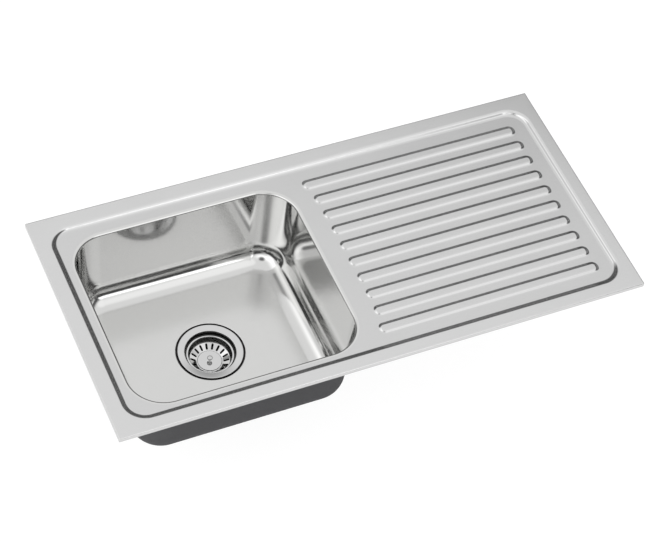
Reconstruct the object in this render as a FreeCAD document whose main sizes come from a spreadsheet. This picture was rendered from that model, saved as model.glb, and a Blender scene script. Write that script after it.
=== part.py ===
"""Inset kitchen sink with one bowl and a ribbed drainboard.

Frame: X runs along the long edge, from the bowl to the drainboard, Y runs to the back, Z is up.
The origin is the middle of the rim outline, at the worktop surface that the lip stands on.
All sizes are in millimetres and angles in degrees.
"""
import FreeCAD
import Part
import Sketcher
import math
import os

SIZES = {
    # deck: one pressed sheet
    "deck_length": 940.0,
    "deck_width": 460.0,
    "deck_sheet": 1.0,
    "lip_height": 8.0,
    "fold_radius": 2.0,
    "deck_corner_radius": 1.6,
    "rim_width": 24.5,
    "rim_left_width": 28.0,
    "rim_back_width": 29.0,
    "step_drop": 6.0,
    "step_slope": 51.0,
    "step_radius": 7.8,
    "step_corner_radius": 38.0,
    # raised ribs of the drainboard
    "rib_count": 10,
    "rib_width": 20.4,
    "rib_height": 3.0,
    "rib_slope": 41.0,
    "rib_radius": 5.8,
    "rib_corner_radius": 9.0,
    "rib_right_gap": 57.0,
    "rib_bowl_gap": 35.0,
    "rib_left_bow": 9.0,
    "rib_front_gap": 53.85,
    "rib_back_gap": 60.85,
    # bowl
    "mouth_length": 402.0,
    "mouth_width": 364.0,
    "mouth_corner_radius": 65.0,
    "bowl_left_gap": 48.0,
    "bowl_offset_y": -7.0,
    "weld_land": 2.0,
    "roll_radius": 4.0,
    "bowl_sheet": 1.0,
    "bowl_depth": 168.0,
    "bowl_draft": 3.7,
    "bowl_bottom_radius": 40.0,
    "seat_radius": 59.5,
    "seat_drop": 3.0,
    "waste_hole_radius": 46.5,
    # sprayed coat under the bowl
    "coat_thickness": 1.2,
    "coat_start": 9.0,
    "coat_hole_radius": 62.0,
    # foam seal under the rim
    "seal_width": 8.0,
    # strainer dish
    "flange_radius": 57.3,
    "flange_sheet": 1.0,
    "flange_rise": 0.4,
    "flange_fall": 1.0,
    "throat_radius": 44.0,
    "throat_bevel": 1.0,
    "ledge_depth": 11.0,
    "cup_radius": 40.2,
    "cup_depth": 41.0,
    "cup_chamfer": 3.0,
    "dimple_radius": 9.0,
    "dimple_depth": 5.0,
    "dish_slot_count": 14,
    "dish_slot_inner": 13.0,
    "dish_slot_outer": 25.0,
    "dish_slot_width": 3.8,
    # rubber rings of the waste
    "flange_seal_inner": 47.5,
    "flange_seal_outer": 56.0,
    "body_seal_outer": 57.0,
    "body_seal_thickness": 2.5,
    # waste housing
    "body_wall": 2.5,
    "body_flange_thickness": 4.0,
    "body_clearance": 1.0,
    "body_floor_gap": 6.0,
    "spigot_radius": 23.9,
    "spigot_bore_radius": 20.5,
    "spigot_length": 22.0,
    "body_cone_height": 9.0,
    "hub_radius": 8.0,
    "hub_height": 9.0,
    "hub_web_thickness": 2.5,
    "waste_screw_radius": 2.9,
    "screw_clearance": 0.3,
    "screw_head_radius": 6.0,
    "screw_head_height": 3.0,
    "hub_nut_width": 10.0,
    "hub_nut_thickness": 5.0,
    # lift-out basket
    "basket_rim_radius": 41.4,
    "basket_rim_height": 2.4,
    "basket_rim_bevel": 0.8,
    "basket_seat_gap": 0.2,
    "basket_sheet": 0.8,
    "basket_wall_radius": 38.4,
    "basket_cone_radius": 35.0,
    "basket_cone_depth": 21.5,
    "basket_floor_depth": 28.0,
    "basket_slot_count": 18,
    "basket_slot_width": 2.6,
    "basket_slot_inner": 22.5,
    "basket_slot_outer": 33.5,
    "basket_disc_radius": 21.0,
    "basket_disc_rise": 1.2,
    "knob_radius": 5.0,
    "knob_lift": 6.0,
    "knob_head_height": 4.0,
    "stem_radius": 2.2,
    "stem_end": 1.7,
    "stopper_radius": 28.0,
    "stopper_thickness": 4.0,
    "stopper_lip": 2.0,
    "ring_radius": 6.0,
    "ring_thickness": 1.0,
    # clips that hold the sink down on the worktop
    "clip_inset": 39.0,
    "clip_right_gap": 85.0,
    "clip_bowl_gap": 60.0,
    "clip_back_left_gap": 140.0,
    "clip_left_front_gap": 145.0,
    "clip_left_back_gap": 160.0,
    "bracket_length": 40.0,
    "bracket_width": 12.0,
    "bracket_sheet": 1.5,
    "bracket_cavity": 3.5,
    "bridge_length": 16.0,
    "stud_radius": 2.9,
    "stud_tip_depth": 50.0,
    "stud_head_radius": 5.0,
    "stud_head_height": 2.0,
    "running_clearance": 0.08,
    "clip_nut_width": 10.0,
    "clip_nut_height": 5.0,
    "nut_tip_gap": 1.5,
    "washer_radius": 6.2,
    "washer_thickness": 1.2,
    "jaw_thickness": 3.0,
    "jaw_width": 12.0,
    "jaw_reach": 38.0,
    "jaw_heel": 8.5,
    "jaw_claw_height": 3.0,
    "jaw_leg_height": 17.0,
}

doc = FreeCAD.newDocument("sink")
sheet = doc.addObject("Spreadsheet::Sheet", "Sizes")
for row, (alias, size) in enumerate(SIZES.items(), 1):
    sheet.set(f"A{row}", alias)
    sheet.set(f"B{row}", str(size))
    sheet.setAlias(f"B{row}", alias)
doc.recompute()

# Levels and sizes that follow from the driving ones, as expressions.
DECK_TOP = "Sizes.lip_height"
LEDGE_TOP = "(Sizes.lip_height - Sizes.step_drop)"
LEDGE_UNDER = f"({LEDGE_TOP} - Sizes.deck_sheet)"
FLOOR_TOP = "(Sizes.lip_height - Sizes.bowl_depth)"
BOWL_X = "(Sizes.bowl_left_gap + Sizes.mouth_length / 2 - Sizes.deck_length / 2)"
BOWL_Y = "Sizes.bowl_offset_y"
BOWL_RIGHT = f"({BOWL_X} + Sizes.mouth_length / 2)"
RIB_LEFT = f"({BOWL_RIGHT} + Sizes.rib_bowl_gap)"
RIB_RIGHT = "(Sizes.deck_length / 2 - Sizes.rib_right_gap)"
RIB_FIRST = "(Sizes.rib_front_gap + Sizes.rib_width / 2 - Sizes.deck_width / 2)"
RIB_LAST = "(Sizes.deck_width / 2 - Sizes.rib_back_gap - Sizes.rib_width / 2)"

# Where each clip stands: the side of the deck, and the place along that side.
CLIPS = [
    ("front", f"({BOWL_RIGHT} + Sizes.clip_bowl_gap)"),
    ("front", "(Sizes.deck_length / 2 - Sizes.clip_right_gap)"),
    ("back", "(Sizes.clip_back_left_gap - Sizes.deck_length / 2)"),
    ("back", f"({BOWL_RIGHT} + Sizes.clip_bowl_gap)"),
    ("back", "(Sizes.deck_length / 2 - Sizes.clip_right_gap)"),
    ("left", "(Sizes.clip_left_front_gap - Sizes.deck_width / 2)"),
    ("left", "(Sizes.deck_width / 2 - Sizes.clip_left_back_gap)"),
    ("right", "0"),
]


def number(expression):
    """The value of an expression, worked out from the sheet."""
    return float(sheet.evalExpression(str(expression)))


def plane(body, role):
    """One of the body's own origin planes."""
    return next(o for o in body.Origin.OriginFeatures if o.Role == role)


def new_body(name):
    body = doc.addObject("PartDesign::Body", name)
    body.Label = name
    return body


def new_sketch(body, name, role="XY_Plane", level="0"):
    """An empty sketch on an origin plane, moved along the plane's normal by a level."""
    sketch = body.newObject("Sketcher::SketchObject", name)
    sketch.AttachmentSupport = [(plane(body, role), "")]
    sketch.MapMode = "FlatFace"
    sketch.setExpression("AttachmentOffset.Base.z", level)
    return sketch


def dimension(sketch, kind, place, expression):
    """A dimension of the sketch that follows an expression."""
    index = sketch.addConstraint(Sketcher.Constraint(kind, *place, number(expression)))
    sketch.setExpression(f"Constraints[{index}]", expression)


def vector(x, y, z=0.0):
    return FreeCAD.Vector(x, y, z)


def add_rounded_rectangle(sketch, left, right, front, back, radius):
    """Four lines and four tangent arcs, each side placed from the sketch origin."""
    x0, x1, y0, y1 = number(left), number(right), number(front), number(back)
    r = number(radius)
    first = sketch.GeometryCount
    for start, end in (
        (vector(x0 + r, y0), vector(x1 - r, y0)),
        (vector(x1, y0 + r), vector(x1, y1 - r)),
        (vector(x1 - r, y1), vector(x0 + r, y1)),
        (vector(x0, y1 - r), vector(x0, y0 + r)),
    ):
        sketch.addGeometry(Part.LineSegment(start, end))
    for x, y, quarter in ((x1 - r, y0 + r, 3), (x1 - r, y1 - r, 0), (x0 + r, y1 - r, 1), (x0 + r, y0 + r, 2)):
        circle = Part.Circle(vector(x, y), vector(0, 0, 1), r)
        turn = quarter * math.pi / 2
        sketch.addGeometry(Part.ArcOfCircle(circle, turn, turn + math.pi / 2))
    constraint = Sketcher.Constraint
    for side in range(4):
        sketch.addConstraint(constraint("Tangent", first + side, 2, first + 4 + side, 1))
        sketch.addConstraint(constraint("Tangent", first + 4 + side, 2, first + (side + 1) % 4, 1))
    for side in (0, 2):
        sketch.addConstraint(constraint("Horizontal", first + side))
        sketch.addConstraint(constraint("Vertical", first + side + 1))
    for corner in (5, 6, 7):
        sketch.addConstraint(constraint("Equal", first + 4, first + corner))
    dimension(sketch, "Radius", (first + 4,), radius)
    dimension(sketch, "DistanceX", (-1, 1, first + 3, 1), left)
    dimension(sketch, "DistanceX", (-1, 1, first + 1, 1), right)
    dimension(sketch, "DistanceY", (-1, 1, first, 1), front)
    dimension(sketch, "DistanceY", (-1, 1, first + 2, 1), back)


def rounded_rectangle(body, name, level, length, width, radius, x="0", y="0"):
    """A sketch of one rounded rectangle about a centre."""
    sketch = new_sketch(body, name, level=level)
    add_rounded_rectangle(
        sketch,
        f"{x} - ({length}) / 2",
        f"{x} + ({length}) / 2",
        f"{y} - ({width}) / 2",
        f"{y} + ({width}) / 2",
        radius,
    )
    return sketch


def add_polygon(sketch, corners):
    """A closed outline through corners, each placed by two dimensions."""
    first = sketch.GeometryCount
    places = [vector(number(x), number(y)) for x, y in corners]
    count = len(corners)
    for index in range(count):
        sketch.addGeometry(Part.LineSegment(places[index], places[(index + 1) % count]))
    for index in range(count):
        after = first + (index + 1) % count
        sketch.addConstraint(Sketcher.Constraint("Coincident", first + index, 2, after, 1))
    for index, (x, y) in enumerate(corners):
        dimension(sketch, "DistanceX", (-1, 1, first + index, 1), x)
        dimension(sketch, "DistanceY", (-1, 1, first + index, 1), y)


def add_circle(sketch, radius, x="0", y="0"):
    index = sketch.GeometryCount
    sketch.addGeometry(Part.Circle(vector(number(x), number(y)), vector(0, 0, 1), number(radius)))
    dimension(sketch, "Radius", (index,), radius)
    dimension(sketch, "DistanceX", (-1, 1, index, 3), x)
    dimension(sketch, "DistanceY", (-1, 1, index, 3), y)


def pad(body, sketch, name, length, down=False, taper=None, middle=False):
    """Material up from the sketch plane, or down; a taper draws the far end in."""
    feature = body.newObject("PartDesign::Pad", name)
    feature.Profile = sketch
    feature.Reversed = down
    feature.Midplane = middle
    feature.setExpression("Length", length)
    if taper:
        feature.setExpression("TaperAngle", taper)
    doc.recompute()
    return feature


def pocket(body, sketch, name, length, up=False, taper=None):
    """A cut down from the sketch plane, or up."""
    feature = body.newObject("PartDesign::Pocket", name)
    feature.Profile = sketch
    feature.Reversed = up
    feature.setExpression("Length", length)
    if taper:
        feature.setExpression("TaperAngle", taper)
    doc.recompute()
    return feature


def subtract(body, other, name):
    """Take one body away from another."""
    cut = body.newObject("PartDesign::Boolean", name)
    cut.setObjects([other])
    cut.Type = "Cut"
    body.Tip = cut
    doc.recompute()


def turned(body, name, corners, cut=False):
    """An outline of (radius, height) corners turned about the body's Z axis."""
    sketch = new_sketch(body, name + "_profile", "XZ_Plane")
    add_polygon(sketch, corners)
    kind = "PartDesign::Groove" if cut else "PartDesign::Revolution"
    feature = body.newObject(kind, name)
    feature.Profile = sketch
    feature.ReferenceAxis = (sketch, ["V_Axis"])
    feature.Angle = 360.0
    doc.recompute()
    return feature


def fillet(body, name, radius, chosen):
    """Round the edges that a test picks."""
    base = body.Tip
    edges = [f"Edge{i}" for i, edge in enumerate(base.Shape.Edges, 1) if chosen(edge.BoundBox)]
    if not edges:
        raise ValueError(f"{body.Label}: no edge for {name}")
    feature = body.newObject("PartDesign::Fillet", name)
    feature.Base = (base, edges)
    feature.setExpression("Radius", radius)
    doc.recompute()
    return feature


def around(body, feature, name, count):
    """Copies of a feature spread evenly round the body's Z axis."""
    pattern = body.newObject("PartDesign::PolarPattern", name)
    pattern.Originals = [feature]
    pattern.Axis = (plane(body, "Z_Axis"), [""])
    pattern.Angle = 360.0
    pattern.setExpression("Occurrences", count)
    body.Tip = pattern
    doc.recompute()
    return pattern


NEAR = 0.01


def flat_at(box, level):
    """True for an edge that lies in the horizontal plane at a level."""
    return abs(box.ZMin - level) < NEAR and abs(box.ZMax - level) < NEAR


def pressed_form(name, inset):
    """The solid under one side of the pressed deck sheet.

    With no inset it is the form of the top side. With the sheet's thickness as the inset it is
    the form of the underside: planes move in by the thickness, outer bends get tighter and inner
    bends wider, so the sheet between the two forms has one thickness. The small bends of the ribs
    are rounded on the top side only.
    """
    body = new_body(name)
    top = f"({DECK_TOP} - {inset})"
    ledge = f"({LEDGE_TOP} - {inset})"
    rib_top = f"({ledge} + Sizes.rib_height)"

    def shift(slope):
        # how far a bend line moves when the sheet's two planes move by the inset
        return f"({inset}) * tan({slope} * 1 deg / 2)"

    outline = rounded_rectangle(
        body, name + "_outline", top,
        f"Sizes.deck_length - 2 * {inset}",
        f"Sizes.deck_width - 2 * {inset}",
        f"Sizes.deck_corner_radius - {inset}",
    )
    pad(body, outline, name + "_block", top, down=True)
    fillet(body, name + "_fold", f"Sizes.fold_radius - {inset}", lambda box: flat_at(box, number(top)))

    drawn = shift("Sizes.step_slope")
    recess = new_sketch(body, name + "_recess_outline", level=top)
    add_rounded_rectangle(
        recess,
        f"Sizes.rim_left_width - {drawn} - Sizes.deck_length / 2",
        f"Sizes.deck_length / 2 - Sizes.rim_width + {drawn}",
        f"Sizes.rim_width - {drawn} - Sizes.deck_width / 2",
        f"Sizes.deck_width / 2 - Sizes.rim_back_width + {drawn}",
        f"Sizes.step_corner_radius + {drawn}",
    )
    pocket(body, recess, name + "_recess", "Sizes.step_drop", taper="-(90 - Sizes.step_slope)")
    inside = number(f"Sizes.deck_length / 2 - Sizes.rim_width + {drawn} + 1")
    fillet(
        body, name + "_step_top", f"Sizes.step_radius - {inset}",
        lambda box: flat_at(box, number(top)) and max(abs(box.XMin), abs(box.XMax)) < inside,
    )
    fillet(
        body, name + "_step_bottom", f"Sizes.step_radius + {inset}",
        lambda box: flat_at(box, number(ledge)) and max(abs(box.XMin), abs(box.XMax)) < inside,
    )

    side = shift("Sizes.rib_slope")
    count = int(SIZES["rib_count"])
    for index in range(count):
        share = index / (count - 1)
        bow = abs(2 * share - 1) ** 6
        middle = f"{1 - share} * {RIB_FIRST} + {share} * {RIB_LAST}"
        outline = new_sketch(body, f"{name}_rib_outline_{index}", level=ledge)
        add_rounded_rectangle(
            outline,
            f"{RIB_LEFT} - {bow} * Sizes.rib_left_bow + {side}",
            f"{RIB_RIGHT} - {side}",
            f"{middle} - Sizes.rib_width / 2 + {side}",
            f"{middle} + Sizes.rib_width / 2 - {side}",
            f"Sizes.rib_corner_radius - {side}",
        )
        pad(body, outline, f"{name}_rib_{index}", "Sizes.rib_height", taper="-(90 - Sizes.rib_slope)")
    rib_zone = number(f"{RIB_LEFT} - Sizes.rib_left_bow - 1")
    rib_end = number(f"{RIB_RIGHT} + 1")

    def rib_edge(level):
        return lambda box: flat_at(box, number(level)) and box.XMin > rib_zone and box.XMax < rib_end

    if inset == "0":
        fillet(body, name + "_rib_tops", "Sizes.rib_radius", rib_edge(rib_top))
        fillet(body, name + "_rib_feet", "Sizes.rib_radius", rib_edge(ledge))
    return body


def make_deck():
    """Rim, folded lip, step, ledge and ribbed drainboard, pressed from one sheet."""
    deck = pressed_form("deck", "0")
    underside = pressed_form("deck_underside", "Sizes.deck_sheet")
    subtract(deck, underside, "deck_sheet_only")
    opening = rounded_rectangle(
        deck, "deck_opening_outline", LEDGE_TOP,
        "Sizes.mouth_length + 2 * Sizes.weld_land",
        "Sizes.mouth_width + 2 * Sizes.weld_land",
        "Sizes.mouth_corner_radius + Sizes.weld_land",
        BOWL_X, BOWL_Y,
    )
    pocket(deck, opening, "deck_opening", "2 * Sizes.deck_sheet")
    return deck


def tub(body, name, grow):
    """The drafted block of the bowl with rounded corners and bottom, grown by a thickness."""
    outline = rounded_rectangle(
        body, name + "_outline", LEDGE_TOP,
        f"Sizes.mouth_length - 2 * Sizes.roll_radius + 2 * ({grow})",
        f"Sizes.mouth_width - 2 * Sizes.roll_radius + 2 * ({grow})",
        f"Sizes.mouth_corner_radius - Sizes.roll_radius + {grow}",
        BOWL_X, BOWL_Y,
    )
    depth = f"{LEDGE_TOP} - {FLOOR_TOP} + {grow}"
    pad(body, outline, name, depth, down=True, taper="-Sizes.bowl_draft")
    bottom = number(f"{FLOOR_TOP} - ({grow})")
    fillet(body, name + "_bottom", f"Sizes.bowl_bottom_radius + {grow}", lambda box: flat_at(box, bottom))


def waste_circle(body, name, level, radius):
    sketch = new_sketch(body, name, level=level)
    add_circle(sketch, radius, BOWL_X, BOWL_Y)
    return sketch


def make_bowl():
    """Drawn bowl: drafted walls, rolled lip with a welding land, and a pressed seat for the waste."""
    bowl = new_body("bowl")
    tub(bowl, "bowl_outside", "Sizes.bowl_sheet")
    land = rounded_rectangle(
        bowl, "bowl_land_outline", LEDGE_TOP,
        "Sizes.mouth_length + 2 * Sizes.weld_land",
        "Sizes.mouth_width + 2 * Sizes.weld_land",
        "Sizes.mouth_corner_radius + Sizes.weld_land",
        BOWL_X, BOWL_Y,
    )
    pad(bowl, land, "bowl_land", "Sizes.bowl_sheet", down=True)
    under = number(f"{LEDGE_TOP} - Sizes.bowl_sheet")
    reach_x = number("Sizes.mouth_length / 2 - Sizes.roll_radius + Sizes.bowl_sheet + 0.5")
    reach_y = number("Sizes.mouth_width / 2 - Sizes.roll_radius + Sizes.bowl_sheet + 0.5")
    x, y = number(BOWL_X), number(BOWL_Y)

    def on_wall(level):
        return lambda box: (
            flat_at(box, level)
            and box.XMin > x - reach_x and box.XMax < x + reach_x
            and box.YMin > y - reach_y and box.YMax < y + reach_y
        )

    fillet(bowl, "bowl_roll_under", "Sizes.roll_radius - Sizes.bowl_sheet", on_wall(under))
    inside = new_body("bowl_inside")
    tub(inside, "bowl_hollow", "0")
    subtract(bowl, inside, "bowl_sheet_only")
    fillet(bowl, "bowl_roll", "Sizes.roll_radius", on_wall(number(LEDGE_TOP)))
    boss = waste_circle(bowl, "seat_boss_outline", f"{FLOOR_TOP} - Sizes.bowl_sheet", "Sizes.seat_radius + Sizes.bowl_sheet")
    pad(bowl, boss, "seat_boss", "Sizes.seat_drop", down=True)
    seat = waste_circle(bowl, "seat_outline", FLOOR_TOP, "Sizes.seat_radius")
    pocket(bowl, seat, "seat", "Sizes.seat_drop")
    hole = waste_circle(bowl, "waste_hole_outline", FLOOR_TOP, "Sizes.waste_hole_radius")
    pocket(bowl, hole, "waste_hole", "2 * Sizes.seat_drop + 2 * Sizes.bowl_sheet")
    return bowl


def make_undercoat():
    """Sound-deadening coat on the outside of the bowl, open round the waste."""
    coat = new_body("bowl_undercoat")
    tub(coat, "coat_outside", "Sizes.bowl_sheet + Sizes.coat_thickness")
    inside = new_body("coat_inside")
    tub(inside, "coat_hollow", "Sizes.bowl_sheet")
    subtract(coat, inside, "coat_only")
    bare = rounded_rectangle(
        coat, "coat_bare_outline", LEDGE_TOP,
        "Sizes.mouth_length", "Sizes.mouth_width", "Sizes.mouth_corner_radius",
        BOWL_X, BOWL_Y,
    )
    pocket(coat, bare, "coat_bare_band", "Sizes.deck_sheet + Sizes.coat_start")
    hole = waste_circle(coat, "coat_hole_outline", FLOOR_TOP, "Sizes.coat_hole_radius")
    pocket(coat, hole, "coat_hole", "2 * (Sizes.bowl_sheet + Sizes.coat_thickness)")
    return coat


def make_rim_seal():
    """Four foam strips stuck under the rim, from the folded lip inwards."""
    strips = []
    long_side = "Sizes.deck_length - 2 * Sizes.fold_radius"
    short_side = "Sizes.deck_width - 2 * Sizes.fold_radius - 2 * Sizes.seal_width"
    for side, length, width, x, y in (
        ("front", long_side, "Sizes.seal_width", "0", "-1"),
        ("back", long_side, "Sizes.seal_width", "0", "1"),
        ("left", "Sizes.seal_width", short_side, "-1", "0"),
        ("right", "Sizes.seal_width", short_side, "1", "0"),
    ):
        strip = doc.addObject("Part::Box", "seal_" + side)
        strip.setExpression("Length", length)
        strip.setExpression("Width", width)
        strip.setExpression("Height", f"{DECK_TOP} - Sizes.deck_sheet")
        run_x = "(Sizes.deck_length / 2 - Sizes.fold_radius - Sizes.seal_width / 2)"
        run_y = "(Sizes.deck_width / 2 - Sizes.fold_radius - Sizes.seal_width / 2)"
        strip.setExpression("Placement.Base.x", f"{x} * {run_x} - ({length}) / 2")
        strip.setExpression("Placement.Base.y", f"{y} * {run_y} - ({width}) / 2")
        strips.append(strip)
    return group("rim_seal", strips)


def group(name, pieces):
    """One sub-part made of several separate solids."""
    compound = doc.addObject("Part::Compound", name)
    compound.Label = name
    compound.Links = pieces
    return compound


# Heights below the floor of the bowl, used by the pieces of the waste.
LEDGE = "(-Sizes.ledge_depth)"
DISH_FLOOR = "(-Sizes.cup_depth)"
DIMPLE_FLOOR = f"({DISH_FLOOR} - Sizes.dimple_depth)"
DIMPLE_UNDER = f"({DIMPLE_FLOOR} - Sizes.flange_sheet)"
BODY_TOP = "(-Sizes.seat_drop - Sizes.bowl_sheet - Sizes.body_seal_thickness)"
BODY_FLOOR = f"({DISH_FLOOR} - Sizes.flange_sheet - Sizes.body_floor_gap)"
HUB_TOP = f"({DIMPLE_UNDER} - Sizes.body_clearance)"
HUB_END = f"({HUB_TOP} - Sizes.hub_height)"
SPIGOT_TOP = f"({BODY_FLOOR} - Sizes.body_cone_height)"
SPIGOT_END = f"({SPIGOT_TOP} - Sizes.spigot_length)"
SCREW_HOLE = "(Sizes.waste_screw_radius + Sizes.screw_clearance)"


def stand_at_waste(piece):
    """Stand a piece on the axis of the waste, at the floor of the bowl."""
    piece.setExpression("Placement.Base.x", BOWL_X)
    piece.setExpression("Placement.Base.y", BOWL_Y)
    piece.setExpression("Placement.Base.z", FLOOR_TOP)
    doc.recompute()
    return piece


def add_slot(sketch, inner, outer, width):
    """A straight slot with round ends, along X."""
    add_rounded_rectangle(sketch, inner, outer, f"-({width}) / 2", f"({width}) / 2", f"({width}) * 0.499")


def make_waste_flange():
    """Polished strainer dish: sloping flange, throat, ledge for the basket and a slotted floor."""
    dish = new_body("waste_flange")
    wall = "Sizes.flange_sheet"
    slope = "(Sizes.flange_rise + Sizes.flange_fall) / (Sizes.flange_radius - Sizes.throat_radius)"
    turned(dish, "dish", [
        ("Sizes.flange_radius", "Sizes.flange_rise"),
        ("Sizes.throat_radius + Sizes.throat_bevel", f"Sizes.throat_bevel * {slope} - Sizes.flange_fall"),
        ("Sizes.throat_radius", "-Sizes.flange_fall - Sizes.throat_bevel"),
        ("Sizes.throat_radius", LEDGE),
        ("Sizes.cup_radius", LEDGE),
        ("Sizes.cup_radius", f"{DISH_FLOOR} + Sizes.cup_chamfer"),
        ("Sizes.cup_radius - Sizes.cup_chamfer", DISH_FLOOR),
        ("Sizes.dimple_radius", DISH_FLOOR),
        ("Sizes.dimple_radius", DIMPLE_FLOOR),
        (SCREW_HOLE, DIMPLE_FLOOR),
        (SCREW_HOLE, DIMPLE_UNDER),
        (f"Sizes.dimple_radius + {wall}", DIMPLE_UNDER),
        (f"Sizes.dimple_radius + {wall}", f"{DISH_FLOOR} - {wall}"),
        (f"Sizes.cup_radius - Sizes.cup_chamfer + {wall} * 0.4", f"{DISH_FLOOR} - {wall}"),
        (f"Sizes.cup_radius + {wall}", f"{DISH_FLOOR} + Sizes.cup_chamfer - {wall} * 0.4"),
        (f"Sizes.cup_radius + {wall}", f"{LEDGE} - {wall}"),
        (f"Sizes.throat_radius + {wall}", f"{LEDGE} - {wall}"),
        (f"Sizes.throat_radius + {wall}", f"-Sizes.flange_fall - {wall}"),
        ("Sizes.flange_radius", f"Sizes.flange_rise - {wall}"),
    ])
    outline = new_sketch(dish, "dish_slot_outline", level=DISH_FLOOR)
    add_slot(outline, "Sizes.dish_slot_inner", "Sizes.dish_slot_outer", "Sizes.dish_slot_width")
    slot = pocket(dish, outline, "dish_slot", "2 * Sizes.flange_sheet")
    around(dish, slot, "dish_slots", "Sizes.dish_slot_count")
    return stand_at_waste(dish)


def make_flange_seal():
    """Rubber ring between the dish and its seat; its top follows the slope of the dish."""
    seal = new_body("flange_seal")
    slope = "(Sizes.flange_rise + Sizes.flange_fall) / (Sizes.flange_radius - Sizes.throat_radius - Sizes.flange_sheet)"

    def under_flange(radius):
        return f"Sizes.flange_rise - Sizes.flange_sheet - (Sizes.flange_radius - {radius}) * {slope}"

    turned(seal, "flange_seal_ring", [
        ("Sizes.flange_seal_inner", "-Sizes.seat_drop"),
        ("Sizes.flange_seal_outer", "-Sizes.seat_drop"),
        ("Sizes.flange_seal_outer", under_flange("Sizes.flange_seal_outer")),
        ("Sizes.flange_seal_inner", under_flange("Sizes.flange_seal_inner")),
    ])
    return stand_at_waste(seal)


def make_body_seal():
    """Flat rubber ring between the underside of the bowl and the waste housing."""
    seal = new_body("body_seal")
    turned(seal, "body_seal_ring", [
        ("Sizes.flange_seal_inner", BODY_TOP),
        ("Sizes.body_seal_outer", BODY_TOP),
        ("Sizes.body_seal_outer", "-Sizes.seat_drop - Sizes.bowl_sheet"),
        ("Sizes.flange_seal_inner", "-Sizes.seat_drop - Sizes.bowl_sheet"),
    ])
    return stand_at_waste(seal)


def hexagon(body, name, level, width):
    """A hexagon sketch, its width measured across the flats."""
    sketch = new_sketch(body, name, level=level)
    corners = []
    for corner in range(6):
        turn = f"{60 * corner} * 1 deg"
        reach = f"({width}) / 2 / cos(30 * 1 deg)"
        corners.append((f"{reach} * cos({turn})", f"{reach} * sin({turn})"))
    add_polygon(sketch, corners)
    return sketch


def make_waste_body():
    """Moulded housing under the bowl: collar, cup, cone, outlet spigot and a webbed hub."""
    housing = new_body("waste_body")
    bore = "(Sizes.throat_radius + Sizes.flange_sheet + Sizes.body_clearance)"
    wall = "Sizes.body_wall"
    turned(housing, "housing", [
        (bore, BODY_TOP),
        ("Sizes.body_seal_outer", BODY_TOP),
        ("Sizes.body_seal_outer", f"{BODY_TOP} - Sizes.body_flange_thickness"),
        (f"{bore} + {wall}", f"{BODY_TOP} - Sizes.body_flange_thickness"),
        (f"{bore} + {wall}", f"{BODY_FLOOR} - {wall}"),
        ("Sizes.spigot_radius", f"{SPIGOT_TOP} - {wall}"),
        ("Sizes.spigot_radius", SPIGOT_END),
        ("Sizes.spigot_bore_radius", SPIGOT_END),
        ("Sizes.spigot_bore_radius", SPIGOT_TOP),
        (bore, BODY_FLOOR),
    ])
    hub = new_sketch(housing, "hub_outline", level=HUB_END)
    add_circle(hub, "Sizes.hub_radius")
    pad(housing, hub, "hub", "Sizes.hub_height")
    for turn, direction in (("along_x", 0), ("along_y", 1)):
        reach = "Sizes.spigot_bore_radius + Sizes.body_wall / 2"
        half = "Sizes.hub_web_thickness / 2"
        sides = (reach, half) if direction == 0 else (half, reach)
        web = new_sketch(housing, "hub_web_outline_" + turn, level=HUB_END)
        add_polygon(web, [
            (f"-({sides[0]})", f"-({sides[1]})"),
            (f"{sides[0]}", f"-({sides[1]})"),
            (f"{sides[0]}", f"{sides[1]}"),
            (f"-({sides[0]})", f"{sides[1]}"),
        ])
        pad(housing, web, "hub_web_" + turn, "Sizes.hub_nut_thickness")
    hole = new_sketch(housing, "hub_hole_outline", level=HUB_TOP)
    add_circle(hole, SCREW_HOLE)
    pocket(housing, hole, "hub_hole", "2 * Sizes.hub_height")
    nut_space = hexagon(housing, "hub_nut_space_outline", HUB_END, "Sizes.hub_nut_width")
    pocket(housing, nut_space, "hub_nut_space", "Sizes.hub_nut_thickness", up=True)
    return stand_at_waste(housing)


def make_waste_screw():
    """Slotted screw that draws the dish and the housing together."""
    screw = new_body("waste_screw")
    turned(screw, "screw", [
        ("0", f"{DIMPLE_FLOOR} + Sizes.screw_head_height"),
        ("Sizes.screw_head_radius", f"{DIMPLE_FLOOR} + Sizes.screw_head_height"),
        ("Sizes.screw_head_radius", DIMPLE_FLOOR),
        ("Sizes.waste_screw_radius", DIMPLE_FLOOR),
        ("Sizes.waste_screw_radius", f"{HUB_END} - Sizes.nut_tip_gap"),
        ("0", f"{HUB_END} - Sizes.nut_tip_gap"),
    ])
    slot = new_sketch(screw, "driver_slot_outline", level=f"{DIMPLE_FLOOR} + Sizes.screw_head_height")
    half = "Sizes.screw_head_height / 4"
    reach = "Sizes.screw_head_radius + 1"
    add_polygon(slot, [(f"-({reach})", f"-{half}"), (reach, f"-{half}"), (reach, half), (f"-({reach})", half)])
    pocket(screw, slot, "driver_slot", "Sizes.screw_head_height / 2")
    return stand_at_waste(screw)


def make_nut(name, level, width, thickness, bore):
    """Hexagon nut, its bore drawn plain at the thread's outer size."""
    nut = new_body(name)
    outline = hexagon(nut, name + "_outline", level, width)
    pad(nut, outline, name + "_blank", thickness)
    hole = new_sketch(nut, name + "_bore_outline", level=level)
    add_circle(hole, bore)
    pocket(nut, hole, name + "_bore", thickness, up=True)
    return nut


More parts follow.
